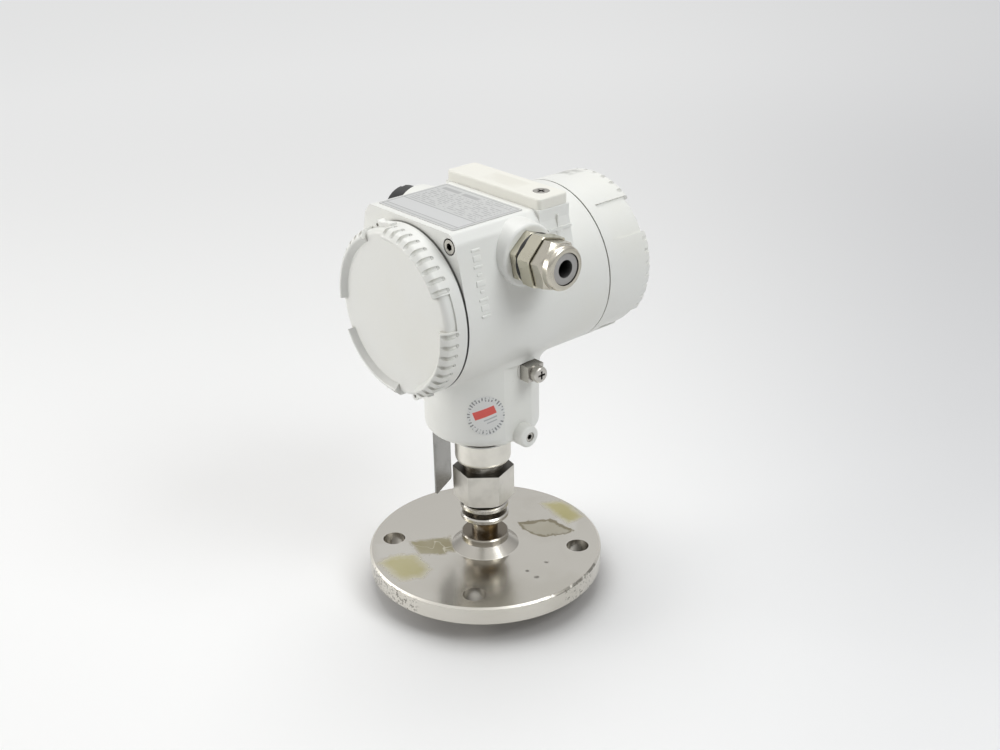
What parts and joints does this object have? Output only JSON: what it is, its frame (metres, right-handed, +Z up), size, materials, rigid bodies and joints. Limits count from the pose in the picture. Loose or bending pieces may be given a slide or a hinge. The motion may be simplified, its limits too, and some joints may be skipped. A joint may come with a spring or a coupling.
{
  "type": "pressure transmitter",
  "caption": "Flange-mounted pressure transmitter: a white cast housing with screwed covers and a cable gland swivels on a steel neck over a finned stem and a bolted process flange.",
  "frame": {"origin": "centre of the bolt circle on the flange's underside, the face that meets the process flange", "axes": "+Z up the stem, barrel of the housing along Y with the wiring cover at -Y, cable gland along +X"},
  "size_m": [0.1296, 0.1438, 0.2202],
  "materials": {
    "painted_casting": "warm white paint, satin",
    "cover_plastic": "cream, satin",
    "stainless": "turned, satin",
    "neck_steel": "fine turned, satin",
    "diaphragm_foil": "bright foil",
    "nickel_plate": "nickel plated, bright",
    "zinc_screw": "bright, slightly tarnished",
    "plate_metal": "silver anodised, printed fields",
    "black_rubber": "matt black",
    "grey_rubber": "matt grey",
    "black_plastic": "moulded black",
    "potting": "dark potting",
    "button_plastic": "dark grey",
    "spring_steel": "bright wire"
  },
  "bodies": {
    "sensor": {"process_flange": "stainless", "diaphragm": "diaphragm_foil", "cooling_stem": "stainless", "hex_adapter": "stainless", "sensor_neck": "neck_steel", "neck_oring": "black_rubber", "sensor_module": "stainless", "tag_wire": "spring_steel"},
    "housing": {"housing": "painted_casting", "terminal_block": "black_plastic", "terminal_screws": "zinc_screw", "electronics_module": "potting", "electronics_screws": "zinc_screw", "gland_locknut": "nickel_plate", "gland_washer": "black_rubber", "gland_body": "nickel_plate", "plug_gasket": "black_rubber", "blanking_plug": "black_plastic", "nameplate": "plate_metal", "button_cover_screw": "zinc_screw", "zero_spring": "spring_steel", "span_spring": "spring_steel", "cap_lock_screw": "zinc_screw", "swivel_set_screw": "zinc_screw", "ground_clamp": "zinc_screw", "ground_washer": "zinc_screw", "ground_screw": "zinc_screw"},
    "front_cap_oring": {"front_cap_oring": "black_rubber"},
    "front_cap": {"front_cap": "painted_casting"},
    "rear_cap_oring": {"rear_cap_oring": "black_rubber"},
    "rear_cap": {"rear_cap": "painted_casting"},
    "gland_seal": {"gland_seal": "grey_rubber"},
    "gland_dome_nut": {"gland_dome_nut": "nickel_plate"},
    "zero_button": {"zero_button": "button_plastic"},
    "span_button": {"span_button": "button_plastic"},
    "button_cover": {"button_cover": "cover_plastic"},
    "tag_plate": {"tag_plate": "stainless"}
  },
  "joints": [
    {"name": "housing_swivel", "type": "hinge", "parent": "sensor", "child": "housing", "pos_m": [0, 0, 0.09], "axis": [0, 0, 1], "range_deg": [-180, 180]},
    {"name": "front_cap_travel", "type": "slide", "parent": "housing", "child": "front_cap_oring", "axis": [0, -1, 0], "range_m": [0, 0.008]},
    {"name": "front_cap_turn", "type": "hinge", "parent": "front_cap_oring", "child": "front_cap", "pos_m": [0, -0.045, 0.1604], "axis": [0, -1, 0], "range_deg": [0, 1440]},
    {"name": "rear_cap_travel", "type": "slide", "parent": "housing", "child": "rear_cap_oring", "axis": [0, 1, 0], "range_m": [0, 0.008]},
    {"name": "rear_cap_turn", "type": "hinge", "parent": "rear_cap_oring", "child": "rear_cap", "pos_m": [0, 0.055, 0.1604], "axis": [0, 1, 0], "range_deg": [0, 1440]},
    {"name": "gland_nut_travel", "type": "slide", "parent": "housing", "child": "gland_seal", "axis": [1, 0, 0], "range_m": [0, 0.0045]},
    {"name": "gland_nut_turn", "type": "hinge", "parent": "gland_seal", "child": "gland_dome_nut", "pos_m": [0.06, -0.004, 0.1882], "axis": [1, 0, 0], "range_deg": [0, 1080]},
    {"name": "zero_button_press", "type": "slide", "parent": "housing", "child": "zero_button", "axis": [0, 0, -1], "range_m": [0, 0.0018], "stiffness_N_per_m": 900, "springref_m": -0.001, "deforming": ["zero_spring"]},
    {"name": "span_button_press", "type": "slide", "parent": "housing", "child": "span_button", "axis": [0, 0, -1], "range_m": [0, 0.0018], "stiffness_N_per_m": 900, "springref_m": -0.001, "deforming": ["span_spring"]},
    {"name": "cover_swing", "type": "hinge", "parent": "housing", "child": "button_cover", "pos_m": [0.0245, 0.0199, 0.2075], "axis": [0, 0, 1], "range_deg": [-180, 0]},
    {"name": "tag_swing", "type": "hinge", "parent": "sensor", "child": "tag_plate", "pos_m": [-0.02139, -0.01043, 0.0764], "axis": [-0.4384, 0.8988, 0], "range_deg": [-10, 60]}
  ],
  "couplings": [
    {"joint": "front_cap_travel", "follows": "front_cap_turn", "m_per_rad": 0.00031831},
    {"joint": "rear_cap_travel", "follows": "rear_cap_turn", "m_per_rad": 0.00031831},
    {"joint": "gland_nut_travel", "follows": "gland_nut_turn", "m_per_rad": 0.00023873}
  ]
}
